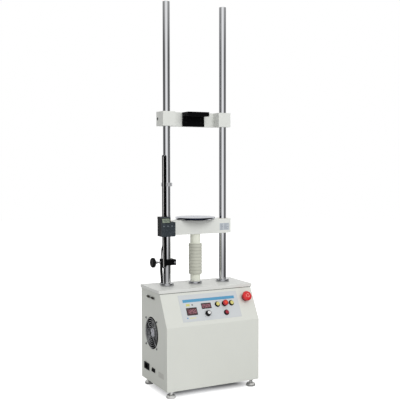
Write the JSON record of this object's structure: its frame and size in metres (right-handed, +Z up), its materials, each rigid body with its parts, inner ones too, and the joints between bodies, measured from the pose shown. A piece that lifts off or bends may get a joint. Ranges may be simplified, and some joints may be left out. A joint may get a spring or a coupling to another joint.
{
  "type": "force test stand",
  "caption": "Motorised two-column force test stand: sloped-panel cabinet, bellows-covered lift screw, round platen on a lower crosshead, adjustable upper crosshead and linear scale.",
  "frame": {"origin": "on the floor under the middle of the stand's cabinet", "axes": "+Z up along the columns, -Y towards the person who reads the control panel, +X to that person's right"},
  "size_m": [0.411, 0.252, 1.52],
  "materials": {
    "front_paint": "smooth satin off-white paint",
    "side_paint": "smooth satin off-white paint",
    "plate_paint": "smooth satin light grey paint",
    "frame_steel": "plain steel",
    "screw_steel": "bright zinc",
    "column_chrome": "hard chrome, ground",
    "collar_chrome": "polished chrome",
    "bellows_cloth": "matt pale grey",
    "crosshead_paint": "smooth satin off-white paint",
    "bushing_brass": "machined",
    "screw_ground": "ground and greased",
    "platen_chrome": "polished",
    "case_plastic": "fine grained dark slate",
    "window_glass": "clear over a grey-green liquid crystal display",
    "key_plastic": "light grey keys",
    "scale_aluminium": "black front with bright aluminium sides",
    "black_metal": "satin black",
    "ring_metal": "dark anodised",
    "knob_plastic": "satin black",
    "lead_jacket": "matt black",
    "sleeve_black": "matt black sleeve",
    "upper_paint": "smooth satin off-white paint",
    "drive_cast": "machined casting",
    "bearing_steel": "ground",
    "nut_bronze": "machined bronze",
    "pulley_aluminium": "machined",
    "belt_rubber": "matt black",
    "motor_paint": "satin dark grey",
    "supply_case": "folded sheet",
    "board_green": "circuit board",
    "fan_plastic": "satin black",
    "guard_wire": "bright wire",
    "inlet_plastic": "black",
    "rocker_plastic": "gloss black",
    "socket_metal": "bright socket",
    "overlay_film": "printed film with a blue band",
    "display_plastic": "dark red filter in a black frame",
    "yellow_plastic": "gloss yellow",
    "red_plastic": "gloss red",
    "dark_red_plastic": "gloss dark red",
    "bezel_plastic": "black bezels",
    "foot_metal": "turned, satin"
  },
  "bodies": {
    "stand": {"base_plate": "frame_steel", "frame_posts": "frame_steel", "top_plate": "plate_paint", "front_cover": "front_paint", "side_panel_left": "side_paint", "side_panel_right": "side_paint", "rear_panel": "side_paint", "small_screws": "screw_steel", "column_left": "column_chrome", "column_right": "column_chrome", "plate_collars": "collar_chrome", "column_nuts": "screw_steel", "bellows": "bellows_cloth", "drive_frame": "drive_cast", "nut_bearings": "bearing_steel", "drive_motor": "motor_paint", "drive_belt": "belt_rubber", "power_supply": "supply_case", "control_board": "board_green", "fan_frame": "fan_plastic", "fan_guard": "guard_wire", "power_inlet": "inlet_plastic", "rocker_frame": "inlet_plastic", "signal_jacks": "socket_metal", "control_overlay": "overlay_film", "led_displays": "display_plastic", "switch_housings": "bezel_plastic", "scale_beam": "scale_aluminium", "scale_ring": "ring_metal", "limit_clamp": "black_metal", "scale_lead": "lead_jacket", "lead_sleeve": "sleeve_black"},
    "crosshead": {"crosshead": "crosshead_paint", "guide_bushings": "bushing_brass", "lift_screw": "screw_ground", "platen": "platen_chrome", "readout_case": "case_plastic", "readout_window": "window_glass"},
    "readout_button_left": {"readout_button_left": "key_plastic"},
    "readout_button_middle": {"readout_button_middle": "key_plastic"},
    "readout_button_right": {"readout_button_right": "key_plastic"},
    "upper_crosshead": {"upper_crosshead": "upper_paint", "gauge_bracket": "black_metal", "upper_screws": "screw_steel"},
    "drive_nut": {"drive_nut": "nut_bronze", "nut_pulley": "pulley_aluminium"},
    "motor_pulley": {"motor_pulley": "pulley_aluminium"},
    "fan_rotor": {"fan_rotor": "fan_plastic"},
    "power_rocker": {"power_rocker": "rocker_plastic"},
    "stop_head": {"estop_head": "red_plastic"},
    "up_button": {"up_button": "yellow_plastic"},
    "halt_button": {"halt_button": "red_plastic"},
    "down_button": {"down_button": "yellow_plastic"},
    "record_button": {"record_button": "dark_red_plastic"},
    "speed_knob": {"speed_knob": "knob_plastic"},
    "foot_front_left": {"foot_front_left": "foot_metal"},
    "foot_front_right": {"foot_front_right": "foot_metal"},
    "foot_rear_left": {"foot_rear_left": "foot_metal"},
    "foot_rear_right": {"foot_rear_right": "foot_metal"},
    "clamp_knob": {"clamp_knob": "knob_plastic"}
  },
  "joints": [
    {"name": "crosshead_travel", "type": "slide", "parent": "stand", "child": "crosshead", "axis": [0, 0, 1], "range_m": [-0.093, 0.13], "deforming": ["bellows"]},
    {"name": "upper_crosshead_travel", "type": "slide", "parent": "stand", "child": "upper_crosshead", "axis": [0, 0, 1], "range_m": [-0.22, 0.42]},
    {"name": "drive_nut_turn", "type": "hinge", "parent": "stand", "child": "drive_nut", "pos_m": [0, 0.04, 0.355], "axis": [0, 0, 1], "range_deg": [-4700, 3360]},
    {"name": "motor_pulley_turn", "type": "hinge", "parent": "stand", "child": "motor_pulley", "pos_m": [0.085, 0.084, 0.345], "axis": [0, 0, 1], "range_deg": [-11500, 8200]},
    {"name": "fan_turn", "type": "hinge", "parent": "stand", "child": "fan_rotor", "pos_m": [-0.185, 0.021, 0.226], "axis": [1, 0, 0], "continuous": true},
    {"name": "clamp_knob_turn", "type": "hinge", "parent": "stand", "child": "clamp_knob", "pos_m": [-0.17, 0.04, 0.499], "axis": [1, 0, 0], "range_deg": [-360, 360]},
    {"name": "power_rocker_tilt", "type": "hinge", "parent": "stand", "child": "power_rocker", "pos_m": [-0.199, 0.003, 0.083], "axis": [0, 0, 1], "range_deg": [-22, 0]},
    {"name": "stop_head_travel", "type": "slide", "parent": "stand", "child": "stop_head", "axis": [0, 0.8731, -0.4875], "range_m": [0, 0.005]},
    {"name": "speed_knob_turn", "type": "hinge", "parent": "stand", "child": "speed_knob", "pos_m": [-0.0169, -0.11102, 0.31244], "axis": [0, -0.8731, 0.4875], "range_deg": [-140, 140]},
    {"name": "up_button_travel", "type": "slide", "parent": "stand", "child": "up_button", "axis": [0, 0.8731, -0.4875], "range_m": [0, 0.003], "stiffness_N_per_m": 600, "springref_m": -0.002},
    {"name": "halt_button_travel", "type": "slide", "parent": "stand", "child": "halt_button", "axis": [0, 0.8731, -0.4875], "range_m": [0, 0.003], "stiffness_N_per_m": 600, "springref_m": -0.002},
    {"name": "down_button_travel", "type": "slide", "parent": "stand", "child": "down_button", "axis": [0, 0.8731, -0.4875], "range_m": [0, 0.003], "stiffness_N_per_m": 600, "springref_m": -0.002},
    {"name": "record_button_travel", "type": "slide", "parent": "stand", "child": "record_button", "axis": [0, 0.8731, -0.4875], "range_m": [0, 0.003], "stiffness_N_per_m": 600, "springref_m": -0.002},
    {"name": "readout_button_left_travel", "type": "slide", "parent": "crosshead", "child": "readout_button_left", "axis": [0, 1, 0], "range_m": [0, 0.001], "stiffness_N_per_m": 600, "springref_m": -0.001},
    {"name": "readout_button_middle_travel", "type": "slide", "parent": "crosshead", "child": "readout_button_middle", "axis": [0, 1, 0], "range_m": [0, 0.001], "stiffness_N_per_m": 600, "springref_m": -0.001},
    {"name": "readout_button_right_travel", "type": "slide", "parent": "crosshead", "child": "readout_button_right", "axis": [0, 1, 0], "range_m": [0, 0.001], "stiffness_N_per_m": 600, "springref_m": -0.001},
    {"name": "foot_front_left_turn", "type": "hinge", "parent": "stand", "child": "foot_front_left", "pos_m": [-0.175, -0.105, 0.02], "axis": [0, 0, 1], "continuous": true},
    {"name": "foot_front_right_turn", "type": "hinge", "parent": "stand", "child": "foot_front_right", "pos_m": [0.175, -0.105, 0.02], "axis": [0, 0, 1], "continuous": true},
    {"name": "foot_rear_left_turn", "type": "hinge", "parent": "stand", "child": "foot_rear_left", "pos_m": [-0.175, 0.105, 0.02], "axis": [0, 0, 1], "continuous": true},
    {"name": "foot_rear_right_turn", "type": "hinge", "parent": "stand", "child": "foot_rear_right", "pos_m": [0.175, 0.105, 0.02], "axis": [0, 0, 1], "continuous": true}
  ],
  "couplings": [
    {"joint": "drive_nut_turn", "follows": "crosshead_travel", "rad_per_m": -628.32},
    {"joint": "motor_pulley_turn", "follows": "crosshead_travel", "rad_per_m": -1525.9}
  ]
}
